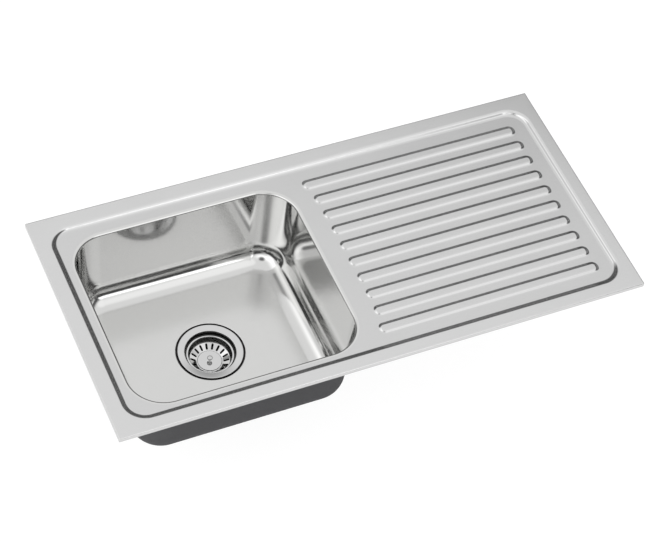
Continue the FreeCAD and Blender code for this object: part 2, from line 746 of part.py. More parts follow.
# Heights of the basket, below the floor of the bowl.
RIM_UNDER = f"({LEDGE} + Sizes.basket_seat_gap)"
RIM_TOP = f"({RIM_UNDER} + Sizes.basket_rim_height)"
BASKET_FLOOR = "(-Sizes.basket_floor_depth)"
BASKET_UNDER = f"({BASKET_FLOOR} - Sizes.basket_sheet)"
DISC_TOP = f"({BASKET_FLOOR} + Sizes.basket_disc_rise)"
STOPPER_UNDER = f"({BASKET_UNDER} - Sizes.stopper_thickness)"
STEM_BORE = "(Sizes.stem_radius + Sizes.running_clearance)"


def make_basket_cup():
    """Lift-out strainer: thick rim, short wall, slotted cone and a plain raised disc."""
    cup = new_body("basket_cup")
    wall = "Sizes.basket_sheet"
    bevel = "Sizes.basket_rim_bevel"
    turned(cup, "cup", [
        ("Sizes.basket_rim_radius", f"{RIM_TOP} - {bevel}"),
        (f"Sizes.basket_rim_radius - {bevel}", RIM_TOP),
        (f"Sizes.basket_wall_radius - {wall} + {bevel}", RIM_TOP),
        (f"Sizes.basket_wall_radius - {wall}", f"{RIM_TOP} - {bevel}"),
        (f"Sizes.basket_wall_radius - {wall}", RIM_UNDER),
        ("Sizes.basket_cone_radius", "-Sizes.basket_cone_depth"),
        (f"Sizes.basket_disc_radius + 2 * {wall}", BASKET_FLOOR),
        (f"Sizes.basket_disc_radius + {wall}", BASKET_FLOOR),
        ("Sizes.basket_disc_radius", DISC_TOP),
        (STEM_BORE, DISC_TOP),
        (STEM_BORE, f"{DISC_TOP} - {wall}"),
        (f"Sizes.basket_disc_radius - {wall} / 2", f"{DISC_TOP} - {wall}"),
        (f"Sizes.basket_disc_radius + {wall} / 2", BASKET_UNDER),
        (f"Sizes.basket_disc_radius + 2.5 * {wall}", BASKET_UNDER),
        (f"Sizes.basket_cone_radius + {wall}", f"-Sizes.basket_cone_depth - {wall}"),
        ("Sizes.basket_wall_radius", RIM_UNDER),
        ("Sizes.basket_rim_radius", RIM_UNDER),
    ])
    outline = new_sketch(cup, "basket_slot_outline", level=BASKET_UNDER)
    add_slot(outline, "Sizes.basket_slot_inner", "Sizes.basket_slot_outer", "Sizes.basket_slot_width")
    slot = pocket(cup, outline, "basket_slot", f"-Sizes.basket_cone_depth - {BASKET_UNDER}", up=True)
    around(cup, slot, "basket_slots", "Sizes.basket_slot_count")
    return stand_at_waste(cup)


def make_basket_knob():
    """Turned knob and its stem; it slides in the floor of the basket."""
    knob = new_body("basket_knob")
    head = f"({DISC_TOP} + Sizes.knob_lift)"
    top = f"({head} + Sizes.knob_head_height)"
    turned(knob, "knob", [
        ("0", f"{STOPPER_UNDER} - Sizes.stem_end"),
        ("Sizes.stem_radius", f"{STOPPER_UNDER} - Sizes.stem_end"),
        ("Sizes.stem_radius", head),
        ("Sizes.knob_radius", f"{head} + Sizes.knob_head_height / 3"),
        ("Sizes.knob_radius", f"{top} - Sizes.knob_head_height / 4"),
        ("Sizes.knob_radius * 0.75", top),
        ("0", top),
    ])
    return stand_at_waste(knob)


def make_basket_stopper():
    """Rubber plug with a soft lip, under the floor of the basket."""
    plug = new_body("basket_stopper")
    lip = f"{STOPPER_UNDER} - Sizes.stopper_lip"
    turned(plug, "stopper", [
        ("Sizes.stem_radius", BASKET_UNDER),
        (f"Sizes.basket_disc_radius + Sizes.basket_sheet", BASKET_UNDER),
        ("Sizes.stopper_radius", STOPPER_UNDER),
        ("Sizes.stopper_radius", lip),
        ("Sizes.stopper_radius - Sizes.stopper_lip", lip),
        ("Sizes.stopper_radius - 2 * Sizes.stopper_lip", STOPPER_UNDER),
        ("Sizes.stem_radius", STOPPER_UNDER),
    ])
    return stand_at_waste(plug)


def make_basket_clip():
    """Push-on ring that holds the rubber plug on the stem."""
    ring = new_body("basket_clip")
    turned(ring, "clip_ring", [
        ("Sizes.stem_radius", STOPPER_UNDER),
        ("Sizes.ring_radius", STOPPER_UNDER),
        ("Sizes.ring_radius", f"{STOPPER_UNDER} - Sizes.ring_thickness"),
        ("Sizes.stem_radius", f"{STOPPER_UNDER} - Sizes.ring_thickness"),
    ])
    return stand_at_waste(ring)


# Heights of a clip, from the worktop surface. A clip is drawn round its stud, with the edge of the
# deck towards -Y and the jaw folded along -X.
BRACKET_UNDER = f"({LEDGE_UNDER} - Sizes.bracket_cavity - Sizes.bracket_sheet)"
HEAD_SEAT = f"({LEDGE_UNDER} - Sizes.bracket_cavity)"
NUT_UNDER = "(-Sizes.stud_tip_depth + Sizes.nut_tip_gap)"
NUT_TOP = f"({NUT_UNDER} + Sizes.clip_nut_height)"
JAW_UNDER = f"({NUT_TOP} + Sizes.washer_thickness)"
STUD_BORE = "(Sizes.stud_radius + Sizes.running_clearance)"


def make_bracket():
    """Bridge bent from strip, with two feet welded to the underside of the deck."""
    bracket = new_body("bracket")
    foot = "Sizes.bracket_length / 2"
    bridge = "Sizes.bridge_length / 2"
    strip = "Sizes.bracket_sheet"
    outline = new_sketch(bracket, "bracket_outline", "XZ_Plane")
    right = [
        (foot, LEDGE_UNDER),
        (f"{bridge} - {strip}", LEDGE_UNDER),
        (f"{bridge} - {strip}", HEAD_SEAT),
    ]
    left = [(f"-({x})", z) for x, z in reversed(right)]
    outside = [
        (f"-({foot})", f"{LEDGE_UNDER} - {strip}"),
        (f"-({bridge})", f"{LEDGE_UNDER} - {strip}"),
        (f"-({bridge})", BRACKET_UNDER),
        (bridge, BRACKET_UNDER),
        (bridge, f"{LEDGE_UNDER} - {strip}"),
        (foot, f"{LEDGE_UNDER} - {strip}"),
    ]
    add_polygon(outline, right + left + outside)
    pad(bracket, outline, "bracket_strip", "Sizes.bracket_width", middle=True)
    hole = new_sketch(bracket, "bracket_hole_outline", level=HEAD_SEAT)
    add_circle(hole, STUD_BORE)
    pocket(bracket, hole, "bracket_hole", "2 * Sizes.bracket_sheet")
    return bracket


def make_stud():
    """Headed stud; its flat head is held in the bridge."""
    stud = new_body("stud")
    turned(stud, "stud_shape", [
        ("0", f"{HEAD_SEAT} + Sizes.stud_head_height"),
        ("Sizes.stud_head_radius", f"{HEAD_SEAT} + Sizes.stud_head_height"),
        ("Sizes.stud_head_radius", HEAD_SEAT),
        ("Sizes.stud_radius", HEAD_SEAT),
        ("Sizes.stud_radius", "-Sizes.stud_tip_depth"),
        ("0", "-Sizes.stud_tip_depth"),
    ])
    return stud


def make_washer():
    """Flat washer that carries the jaw up the stud."""
    washer = new_body("washer")
    turned(washer, "washer_ring", [
        (STUD_BORE, NUT_TOP),
        ("Sizes.washer_radius", NUT_TOP),
        ("Sizes.washer_radius", JAW_UNDER),
        (STUD_BORE, JAW_UNDER),
    ])
    return washer


def make_jaw():
    """Jaw bent from strip: a claw at the far end and a heel leg behind the stud."""
    jaw = new_body("jaw")
    strip = "Sizes.jaw_thickness"
    outline = new_sketch(jaw, "jaw_outline", "XZ_Plane")
    add_polygon(outline, [
        ("-Sizes.jaw_reach", JAW_UNDER),
        ("Sizes.jaw_heel", JAW_UNDER),
        ("Sizes.jaw_heel", f"{JAW_UNDER} + Sizes.jaw_leg_height"),
        (f"Sizes.jaw_heel - {strip}", f"{JAW_UNDER} + Sizes.jaw_leg_height"),
        (f"Sizes.jaw_heel - {strip}", f"{JAW_UNDER} + {strip}"),
        (f"-Sizes.jaw_reach + {strip}", f"{JAW_UNDER} + {strip}"),
        (f"-Sizes.jaw_reach + {strip}", f"{JAW_UNDER} + {strip} + Sizes.jaw_claw_height"),
        ("-Sizes.jaw_reach", f"{JAW_UNDER} + {strip} + Sizes.jaw_claw_height"),
    ])
    pad(jaw, outline, "jaw_strip", "Sizes.jaw_width", middle=True)
    level = number(JAW_UNDER)
    fillet(jaw, "jaw_bends", "0.8 * Sizes.jaw_thickness",
           lambda box: flat_at(box, level) and abs(box.XMax - box.XMin) < NEAR)
    hole = new_sketch(jaw, "jaw_hole_outline", level=JAW_UNDER)
    add_circle(hole, STUD_BORE)
    pocket(jaw, hole, "jaw_hole", "2 * Sizes.jaw_thickness", up=True)
    return jaw


# Which way a side of the deck faces: the turn of a clip about Z, and its place across that side.
SIDES = {
    "front": (0, None, "-(Sizes.deck_width / 2 - Sizes.clip_inset)"),
    "right": (90, "Sizes.deck_length / 2 - Sizes.clip_inset", None),
    "back": (180, None, "Sizes.deck_width / 2 - Sizes.clip_inset"),
    "left": (270, "-(Sizes.deck_length / 2 - Sizes.clip_inset)", None),
}


def copy_at_clip(master, name, side, along):
    """A linked copy of a clip's piece, standing at one clip's place."""
    turn, x, y = SIDES[side]
    copy = doc.addObject("App::Link", name)
    copy.Label = name
    copy.setLink(master)
    rotation = FreeCAD.Rotation(vector(0, 0, 1), turn)
    copy.Placement = FreeCAD.Placement(vector(0, 0), rotation)
    copy.setExpression("Placement.Base.x", x or along)
    copy.setExpression("Placement.Base.y", y or along)
    return copy


def make_clips():
    """Every clip: the welded bracket and its stud in two groups, the moving pieces by themselves."""
    fixed = {"clip_brackets": make_bracket(), "clip_studs": make_stud()}
    moving = {
        "clip_washer": make_washer(),
        "clip_jaw": make_jaw(),
        "clip_nut": make_nut("nut", NUT_UNDER, "Sizes.clip_nut_width", "Sizes.clip_nut_height", STUD_BORE),
    }
    pieces = []
    for name, master in fixed.items():
        copies = [
            copy_at_clip(master, f"{name}_{index}", side, along)
            for index, (side, along) in enumerate(CLIPS, 1)
        ]
        pieces.append(group(name, copies))
    for index, (side, along) in enumerate(CLIPS, 1):
        for name, master in moving.items():
            pieces.append(copy_at_clip(master, f"{name}_{index}", side, along))
    return pieces


def make_hub_nut():
    bore = "Sizes.waste_screw_radius + Sizes.running_clearance"
    nut = make_nut("hub_nut", HUB_END, "Sizes.hub_nut_width", "Sizes.hub_nut_thickness", bore)
    return stand_at_waste(nut)


parts = [
    make_deck(),
    make_bowl(),
    make_undercoat(),
    make_rim_seal(),
    make_waste_flange(),
    make_flange_seal(),
    make_body_seal(),
    make_waste_body(),
    make_waste_screw(),
    make_hub_nut(),
    make_basket_cup(),
    make_basket_knob(),
    make_basket_stopper(),
    make_basket_clip(),
] + make_clips()
doc.recompute()

for item in doc.Objects:
    if "Invalid" in item.State or "Error" in item.State:
        raise ValueError(f"{item.Label} failed: {item.State}")

shapes = {part.Label: Part.getShape(part) for part in parts}
for label, shape in shapes.items():
    if shape.isNull() or not shape.isValid() or not shape.Solids:
        raise ValueError(f"{label} has no valid solid")

os.makedirs("parts", exist_ok=True)
for label, shape in shapes.items():
    shape.exportStep(f"parts/{label}.step")
    print(f"{label}: {len(shape.Solids)} solid, {shape.Volume / 1000:.1f} cm3")
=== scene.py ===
"""Inset stainless kitchen sink with one bowl and a ribbed drainboard, dressed for rendering.

Lengths are in metres. Names that end in _mm hold millimetres. The frame is the model's own: X runs
along the long edge from the bowl to the drainboard, Y to the back, Z up from the worktop surface.
"""
import math

import bmesh
import bpy
from mathutils import Matrix, Vector


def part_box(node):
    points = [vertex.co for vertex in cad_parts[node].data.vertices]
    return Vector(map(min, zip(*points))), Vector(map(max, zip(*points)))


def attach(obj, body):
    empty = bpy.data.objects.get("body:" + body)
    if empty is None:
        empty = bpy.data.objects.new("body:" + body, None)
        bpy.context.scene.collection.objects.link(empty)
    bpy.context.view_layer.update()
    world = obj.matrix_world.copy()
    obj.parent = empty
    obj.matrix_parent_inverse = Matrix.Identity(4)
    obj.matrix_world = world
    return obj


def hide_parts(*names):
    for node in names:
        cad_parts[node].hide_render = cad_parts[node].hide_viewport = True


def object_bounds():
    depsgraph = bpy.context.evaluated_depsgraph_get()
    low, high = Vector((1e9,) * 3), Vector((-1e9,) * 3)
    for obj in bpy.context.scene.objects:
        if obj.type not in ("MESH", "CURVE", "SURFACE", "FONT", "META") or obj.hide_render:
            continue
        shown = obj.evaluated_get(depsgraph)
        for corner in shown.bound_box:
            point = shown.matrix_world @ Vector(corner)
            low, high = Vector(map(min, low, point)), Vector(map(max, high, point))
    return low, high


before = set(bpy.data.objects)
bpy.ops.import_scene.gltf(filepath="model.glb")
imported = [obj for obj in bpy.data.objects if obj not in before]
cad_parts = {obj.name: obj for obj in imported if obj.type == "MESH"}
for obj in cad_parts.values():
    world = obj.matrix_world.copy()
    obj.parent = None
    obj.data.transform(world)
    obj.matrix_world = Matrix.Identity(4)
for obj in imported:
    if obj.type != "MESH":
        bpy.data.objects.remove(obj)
cad_low, cad_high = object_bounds()

mm = 0.001

# ---------------------------------------------------------------- sizes, read from the frame first

deck_low, deck_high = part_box("deck")
bowl_low, bowl_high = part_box("bowl")
dish_low, dish_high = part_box("waste_flange")
deck_half = Vector(((deck_high.x - deck_low.x) / 2, (deck_high.y - deck_low.y) / 2))
rim_top = deck_high.z
ledge_top = bowl_high.z
sheet = 1.0 * mm

weld_land = 2.0 * mm
seam_half = Vector(((bowl_high.x - bowl_low.x) / 2, (bowl_high.y - bowl_low.y) / 2))
mouth_half = seam_half - Vector((weld_land, weld_land))
mouth_corner = 65.0 * mm
bowl_centre = Vector(((bowl_high.x + bowl_low.x) / 2, (bowl_high.y + bowl_low.y) / 2))
bowl_depth = 168.0 * mm
floor_top = rim_top - bowl_depth
waste_centre = Vector(((dish_high.x + dish_low.x) / 2, (dish_high.y + dish_low.y) / 2))
bowl_draft = math.tan(math.radians(3.7))

rib_count = 10
rib_half_width = 10.2 * mm
rib_height = 3.0 * mm
rib_slope = math.radians(41)
rib_bend = 5.8 * mm
rib_corner = 9.0 * mm
rib_right_gap, rib_front_gap, rib_back_gap = 57.0 * mm, 53.85 * mm, 60.85 * mm
rib_left, rib_right = 15.0 * mm, deck_half.x - rib_right_gap
rib_front_row = -deck_half.y + rib_front_gap + rib_half_width
rib_back_row = deck_half.y - rib_back_gap - rib_half_width
rib_bow, rib_bow_power = 9.0 * mm, 6.0

rim_left, rim_right, rim_front, rim_back = 28.0 * mm, 24.5 * mm, 24.5 * mm, 29.0 * mm
step_half = deck_half - Vector((rim_left + rim_right, rim_front + rim_back)) / 2
step_centre = Vector((rim_left - rim_right, rim_front - rim_back)) / 2
lip_corner, lip_bend = 1.6 * mm, 2.0 * mm
step_corner = 38.0 * mm
step_bend = 7.8 * mm
step_slope = math.radians(51)

# ---------------------------------------------------------------- shapes


def soften(corners, steps):
    """A profile through corners (across, up, radius) with each corner rounded to its radius."""
    points = []
    for index, (across, up, radius) in enumerate(corners):
        here = Vector((across, up))
        if radius == 0 or index in (0, len(corners) - 1):
            points.append(here)
            continue
        before = (Vector(corners[index - 1][:2]) - here).normalized()
        after = (Vector(corners[index + 1][:2]) - here).normalized()
        half = before.angle(after) / 2
        middle = here + (before + after).normalized() * (radius / math.sin(half))
        start = here + before * (radius / math.tan(half)) - middle
        end = here + after * (radius / math.tan(half)) - middle
        turn = start.angle_signed(end)
        for step in range(steps + 1):
            share = turn * step / steps
            points.append(middle + Matrix.Rotation(-share, 2) @ start)
    return points


def rounded_ring(half, radius, height, centre=(0.0, 0.0), steps=16):
    """Points of a rounded rectangle, anticlockwise seen from above."""
    radius = max(radius, 0.02 * mm)
    ring = []
    for corner, (side_x, side_y) in enumerate(((1, -1), (1, 1), (-1, 1), (-1, -1))):
        for step in range(steps + 1):
            angle = math.pi / 2 * (corner - 1 + step / steps)
            ring.append(Vector((
                centre[0] + side_x * (half[0] - radius) + radius * math.cos(angle),
                centre[1] + side_y * (half[1] - radius) + radius * math.sin(angle),
                height,
            )))
    return ring


def circle_ring(radius, height, centre=(0.0, 0.0), steps=96):
    """Points of a level circle, anticlockwise seen from above."""
    return [
        Vector((centre[0] + radius * math.cos(a), centre[1] + radius * math.sin(a), height))
        for a in (2 * math.pi * step / steps for step in range(steps))
    ]


def skin(bm, rings, closed=False):
    """Quads between neighbouring rings. Returns the rings' vertices."""
    rows = [[bm.verts.new(point) for point in ring] for ring in rings]
    pairs = list(zip(rows, rows[1:])) + ([(rows[-1], rows[0])] if closed else [])
    for inner, outer in pairs:
        count = len(inner)
        for index in range(count):
            after = (index + 1) % count
            bm.faces.new((inner[index], inner[after], outer[after], outer[index]))
    return rows


def face_up(bm):
    """Turn a sheet's faces to its upper side."""
    bmesh.ops.recalc_face_normals(bm, faces=bm.faces)
    if next(f for f in bm.faces if abs(f.normal.z) > 0.99).normal.z < 0:
        bmesh.ops.reverse_faces(bm, faces=bm.faces)


def ring_edges(row):
    """The edges along a ring of vertices."""
    found = []
    for index, vertex in enumerate(row):
        after = row[(index + 1) % len(row)]
        found.append(next(e for e in vertex.link_edges if e.other_vert(vertex) is after))
    return found


def finish_mesh(name, bm, sheet_thickness=None, sharp_angle=35.0):
    """A shaded object from a bmesh; a sheet gets its thickness away from its outer side."""
    bmesh.ops.remove_doubles(bm, verts=bm.verts, dist=0.004 * mm)
    mesh = bpy.data.meshes.new(name)
    bm.to_mesh(mesh)
    bm.free()
    piece = bpy.data.objects.new(name, mesh)
    bpy.context.collection.objects.link(piece)
    if sheet_thickness:
        wall = piece.modifiers.new("sheet", "SOLIDIFY")
        wall.thickness = sheet_thickness
        wall.offset = -1
        wall.use_even_offset = True
    return shade(piece, sharp_angle)


def plain_mesh(piece):
    """Replace a piece's live modifiers by their result."""
    graph = bpy.context.evaluated_depsgraph_get()
    result = bpy.data.meshes.new_from_object(piece.evaluated_get(graph), depsgraph=graph)
    piece.modifiers.clear()
    piece.data = result
    return piece


def shade(piece, sharp_angle=35.0):
    """Smooth shading that follows the large faces, with sharp edges kept."""
    if piece.modifiers:
        plain_mesh(piece)
    piece.data.shade_smooth()
    piece.data.set_sharp_from_angle(angle=math.radians(sharp_angle))
    weighted = piece.modifiers.new("normals", "WEIGHTED_NORMAL")
    weighted.mode = "FACE_AREA"
    weighted.keep_sharp = True
    return plain_mesh(piece)


def turned(name, profile, centre, height, steps):
    """A closed profile (radius, up) turned about an upright axis."""
    bm = bmesh.new()
    rings = [circle_ring(max(p[0], 0.0), height + p[1], centre, steps) for p in profile]
    skin(bm, rings, closed=True)
    bmesh.ops.remove_doubles(bm, verts=bm.verts, dist=0.004 * mm)
    bmesh.ops.recalc_face_normals(bm, faces=bm.faces)
    return finish_mesh(name, bm)


# ---------------------------------------------------------------- nodes


def add_node(tree, kind, inputs=None, **settings):
    """A node with its settings; an input is a value, or a socket that gets linked."""
    node = tree.nodes.new(kind)
    for key, value in settings.items():
        setattr(node, key, value)
    for key, value in (inputs or {}).items():
        if isinstance(value, bpy.types.NodeSocket):
            tree.links.new(value, node.inputs[key])
        else:
            node.inputs[key].default_value = value
    return node


def new_tree(name, sockets):
    """A Geometry Nodes tree with named inputs; returns it with its input and output nodes."""
    tree = bpy.data.node_groups.new(name, "GeometryNodeTree")
    tree.interface.new_socket("Geometry", in_out="INPUT", socket_type="NodeSocketGeometry")
    for label, kind in sockets:
        tree.interface.new_socket(label, in_out="INPUT", socket_type=kind)
    tree.interface.new_socket("Geometry", in_out="OUTPUT", socket_type="NodeSocketGeometry")
    return tree, add_node(tree, "NodeGroupInput"), add_node(tree, "NodeGroupOutput")


def run_tree(name, tree, values):
    """The plain mesh that a tree makes from its named inputs."""
    piece = bpy.data.objects.new(name, bpy.data.meshes.new(name))
    bpy.context.collection.objects.link(piece)
    modifier = piece.modifiers.new("tree", "NODES")
    modifier.node_group = tree
    for item in tree.interface.items_tree:
        if item.in_out == "INPUT" and item.name in values:
            modifier[item.identifier] = values[item.name]
    return plain_mesh(piece)


def rib_row_tree():
    """Copies of one rib in a row, with the left ends of the outer ones drawn out."""
    tree, given, out = new_tree("rib row", (
        ("Rib", "NodeSocketObject"), ("Count", "NodeSocketInt"), ("Front", "NodeSocketFloat"),
        ("Back", "NodeSocketFloat"), ("Bow", "NodeSocketFloat"), ("Middle", "NodeSocketFloat"),
        ("Material", "NodeSocketMaterial"),
    ))
    front = add_node(tree, "ShaderNodeCombineXYZ", {"Y": given.outputs["Front"]})
    back = add_node(tree, "ShaderNodeCombineXYZ", {"Y": given.outputs["Back"]})
    row = add_node(tree, "GeometryNodeMeshLine", {
        "Count": given.outputs["Count"], "Start Location": front.outputs[0],
        "Offset": back.outputs[0],
    }, mode="END_POINTS")
    rib = add_node(tree, "GeometryNodeObjectInfo", {"Object": given.outputs["Rib"]})
    copies = add_node(tree, "GeometryNodeInstanceOnPoints", {
        "Points": row.outputs["Mesh"], "Instance": rib.outputs["Geometry"],
    })
    index = add_node(tree, "GeometryNodeInputIndex")
    last = add_node(
        tree, "ShaderNodeMath", {0: given.outputs["Count"], 1: 1.0}, operation="SUBTRACT")
    share = add_node(
        tree, "ShaderNodeMath", {0: index.outputs[0], 1: last.outputs[0]}, operation="DIVIDE")
    from_middle = add_node(
        tree, "ShaderNodeMath", {0: share.outputs[0], 1: 2.0, 2: -1.0}, operation="MULTIPLY_ADD")
    size = add_node(tree, "ShaderNodeMath", {0: from_middle.outputs[0]}, operation="ABSOLUTE")
    late = add_node(
        tree, "ShaderNodeMath", {0: size.outputs[0], 1: rib_bow_power}, operation="POWER")
    bowed = add_node(
        tree, "ShaderNodeMath", {0: late.outputs[0], 1: given.outputs["Bow"]}, operation="MULTIPLY")
    marked = add_node(tree, "GeometryNodeStoreNamedAttribute", {
        "Geometry": copies.outputs["Instances"], "Name": "bow", "Value": bowed.outputs[0],
    }, data_type="FLOAT", domain="INSTANCE")
    real = add_node(tree, "GeometryNodeRealizeInstances", {"Geometry": marked.outputs["Geometry"]})
    bow = add_node(tree, "GeometryNodeInputNamedAttribute", {"Name": "bow"}, data_type="FLOAT")
    place = add_node(tree, "GeometryNodeInputPosition")
    parts = add_node(tree, "ShaderNodeSeparateXYZ", {0: place.outputs[0]})
    left_half = add_node(tree, "FunctionNodeCompare", {
        0: parts.outputs["X"], 1: given.outputs["Middle"],
    }, data_type="FLOAT", operation="LESS_THAN")
    outwards = add_node(
        tree, "ShaderNodeMath", {0: bow.outputs["Attribute"], 1: -1.0}, operation="MULTIPLY")
    shift = add_node(tree, "ShaderNodeCombineXYZ", {"X": outwards.outputs[0]})
    moved = add_node(tree, "GeometryNodeSetPosition", {
        "Geometry": real.outputs["Geometry"], "Selection": left_half.outputs[0],
        "Offset": shift.outputs[0],
    })
    dressed = add_node(tree, "GeometryNodeSetMaterial", {
        "Geometry": moved.outputs["Geometry"], "Material": given.outputs["Material"],
    })
    tree.links.new(dressed.outputs["Geometry"], out.inputs["Geometry"])
    return tree


def ring_tree():
    """Copies of one sector turned about Z, with their seams merged."""
    tree, given, out = new_tree("sector ring", (
        ("Sector", "NodeSocketObject"), ("Count", "NodeSocketInt"),
        ("Material", "NodeSocketMaterial"),
    ))
    points = add_node(tree, "GeometryNodePoints", {"Count": given.outputs["Count"]})
    sector = add_node(tree, "GeometryNodeObjectInfo", {"Object": given.outputs["Sector"]})
    index = add_node(tree, "GeometryNodeInputIndex")
    share = add_node(tree, "ShaderNodeMath", {
        0: index.outputs[0], 1: given.outputs["Count"],
    }, operation="DIVIDE")
    turn = add_node(
        tree, "ShaderNodeMath", {0: share.outputs[0], 1: 2 * math.pi}, operation="MULTIPLY")
    angles = add_node(tree, "ShaderNodeCombineXYZ", {"Z": turn.outputs[0]})
    rotation = add_node(tree, "FunctionNodeEulerToRotation", {"Euler": angles.outputs[0]})
    copies = add_node(tree, "GeometryNodeInstanceOnPoints", {
        "Points": points.outputs[0], "Instance": sector.outputs["Geometry"],
        "Rotation": rotation.outputs[0],
    })
    real = add_node(tree, "GeometryNodeRealizeInstances", {"Geometry": copies.outputs["Instances"]})
    merged = add_node(tree, "GeometryNodeMergeByDistance", {
        "Geometry": real.outputs["Geometry"], "Distance": 0.01 * mm,
    })
    dressed = add_node(tree, "GeometryNodeSetMaterial", {
        "Geometry": merged.outputs["Geometry"], "Material": given.outputs["Material"],
    })
    tree.links.new(dressed.outputs["Geometry"], out.inputs["Geometry"])
    return tree


# ---------------------------------------------------------------- materials


def linear(hex_colour):
    """An sRGB hex colour as linear values."""
    channels = (int(hex_colour[i:i + 2], 16) / 255 for i in (1, 3, 5))
    return (*(c / 12.92 if c <= 0.04045 else ((c + 0.055) / 1.055) ** 2.4 for c in channels), 1.0)


def new_material(name):
    """An empty node material and its tree."""
    material = bpy.data.materials.new(name)
    material.use_nodes = True
    material.node_tree.nodes.clear()
    return material, material.node_tree


def finish_material(tree, surface):
    """Join a shader to the material's output."""
    add_node(tree, "ShaderNodeOutputMaterial", {"Surface": surface.outputs[0]})


def rolled_steel(name, colour, ledge_shade_colour, roughness, grain_mm, grain_depth_mm):
    """Cold-rolled stainless sheet: fine long grain along the rolling direction, soft sheen.

    The ledge below the rim is painted a shade darker: painted shade in the recess below the rim.
    """
    material, tree = new_material(name)
    place = add_node(tree, "ShaderNodeTexCoord")
    across = 1.0 / (grain_mm * mm)
    along = across / 60
    laid = add_node(tree, "ShaderNodeMapping", {
        "Vector": place.outputs["Object"], "Scale": (along, across, across),
    })
    grain = add_node(tree, "ShaderNodeTexNoise", {
        "Vector": laid.outputs[0], "Scale": 1.0, "Detail": 3.0, "Roughness": 0.6,
    })
    cloud = add_node(tree, "ShaderNodeTexNoise", {
        "Vector": place.outputs["Object"], "Scale": 9.0, "Detail": 2.0,
    })
    rough = add_node(tree, "ShaderNodeMapRange", {
        "Value": grain.outputs["Fac"], "From Min": 0.3, "From Max": 0.7,
        "To Min": roughness * 0.85, "To Max": roughness * 1.15,
    })
    cloudy = add_node(tree, "ShaderNodeMapRange", {
        "Value": cloud.outputs["Fac"], "From Min": 0.3, "From Max": 0.7,
        "To Min": -0.012, "To Max": 0.012,
    })
    total = add_node(
        tree, "ShaderNodeMath", {0: rough.outputs[0], 1: cloudy.outputs[0]}, operation="ADD")
    bump = add_node(tree, "ShaderNodeBump", {
        "Height": grain.outputs["Fac"], "Strength": 1.0, "Distance": grain_depth_mm * mm,
    })
    parts = add_node(tree, "ShaderNodeSeparateXYZ", {0: place.outputs["Object"]})
    raised = add_node(tree, "ShaderNodeMapRange", {
        "Value": parts.outputs["Z"], "From Min": ledge_top, "From Max": rim_top,
    })
    # painted shade: the recessed ledge is tinted darker than the rim, by height
    tint = add_node(tree, "ShaderNodeMix", {
        "Factor": raised.outputs[0], "A": linear(ledge_shade_colour), "B": linear(colour),
    }, data_type="RGBA")
    steel = add_node(tree, "ShaderNodeBsdfPrincipled", {
        "Base Color": tint.outputs["Result"], "Metallic": 1.0,
        "Roughness": total.outputs[0], "Normal": bump.outputs[0],
    })
    finish_material(tree, steel)
    return material


def drawn_steel(name, colour, seat_shade_colour, wall, floor, wave_mm, wave_depth_mm, grain_mm):
    """Drawn stainless: walls polished nearly to a mirror, the flat floor brushed satin.

    The seat round the waste is painted dark: painted shade in the gap round the dish.
    """
    material, tree = new_material(name)
    place = add_node(tree, "ShaderNodeTexCoord")
    parts = add_node(tree, "ShaderNodeSeparateXYZ", {0: place.outputs["Object"]})
    finish = add_node(tree, "ShaderNodeMapRange", {
        "Value": parts.outputs["Z"],
        "From Min": floor_top + 0.2 * mm, "From Max": floor_top + 2.5 * mm,
        "To Min": floor, "To Max": wall,
    }, interpolation_type="SMOOTHSTEP")
    grain = add_node(tree, "ShaderNodeTexNoise", {
        "Vector": place.outputs["Object"], "Scale": 1.0 / (grain_mm * mm), "Detail": 2.0,
    })
    uneven = add_node(tree, "ShaderNodeMapRange", {
        "Value": grain.outputs["Fac"], "From Min": 0.3, "From Max": 0.7,
        "To Min": 0.94, "To Max": 1.06,
    })
    rough = add_node(
        tree, "ShaderNodeMath", {0: finish.outputs[0], 1: uneven.outputs[0]}, operation="MULTIPLY")
    wave = add_node(tree, "ShaderNodeTexNoise", {
        "Vector": place.outputs["Object"], "Scale": 1.0 / (wave_mm * mm), "Detail": 1.0,
    })
    bump = add_node(tree, "ShaderNodeBump", {
        "Height": wave.outputs["Fac"], "Strength": 1.0, "Distance": wave_depth_mm * mm,
    })
    # painted shade: below the floor, in the seat round the waste, the colour turns dark
    outside_seat_shade = add_node(tree, "ShaderNodeMapRange", {
        "Value": parts.outputs["Z"],
        "From Min": floor_top - 1.6 * mm, "From Max": floor_top - 0.6 * mm,
    })
    tint = add_node(tree, "ShaderNodeMix", {
        "Factor": outside_seat_shade.outputs[0], "A": linear(seat_shade_colour), "B": linear(colour),
    }, data_type="RGBA")
    steel = add_node(tree, "ShaderNodeBsdfPrincipled", {
        "Base Color": tint.outputs["Result"], "Metallic": 1.0,
        "Roughness": rough.outputs[0], "Normal": bump.outputs[0],
    })
    finish_material(tree, steel)
    return material


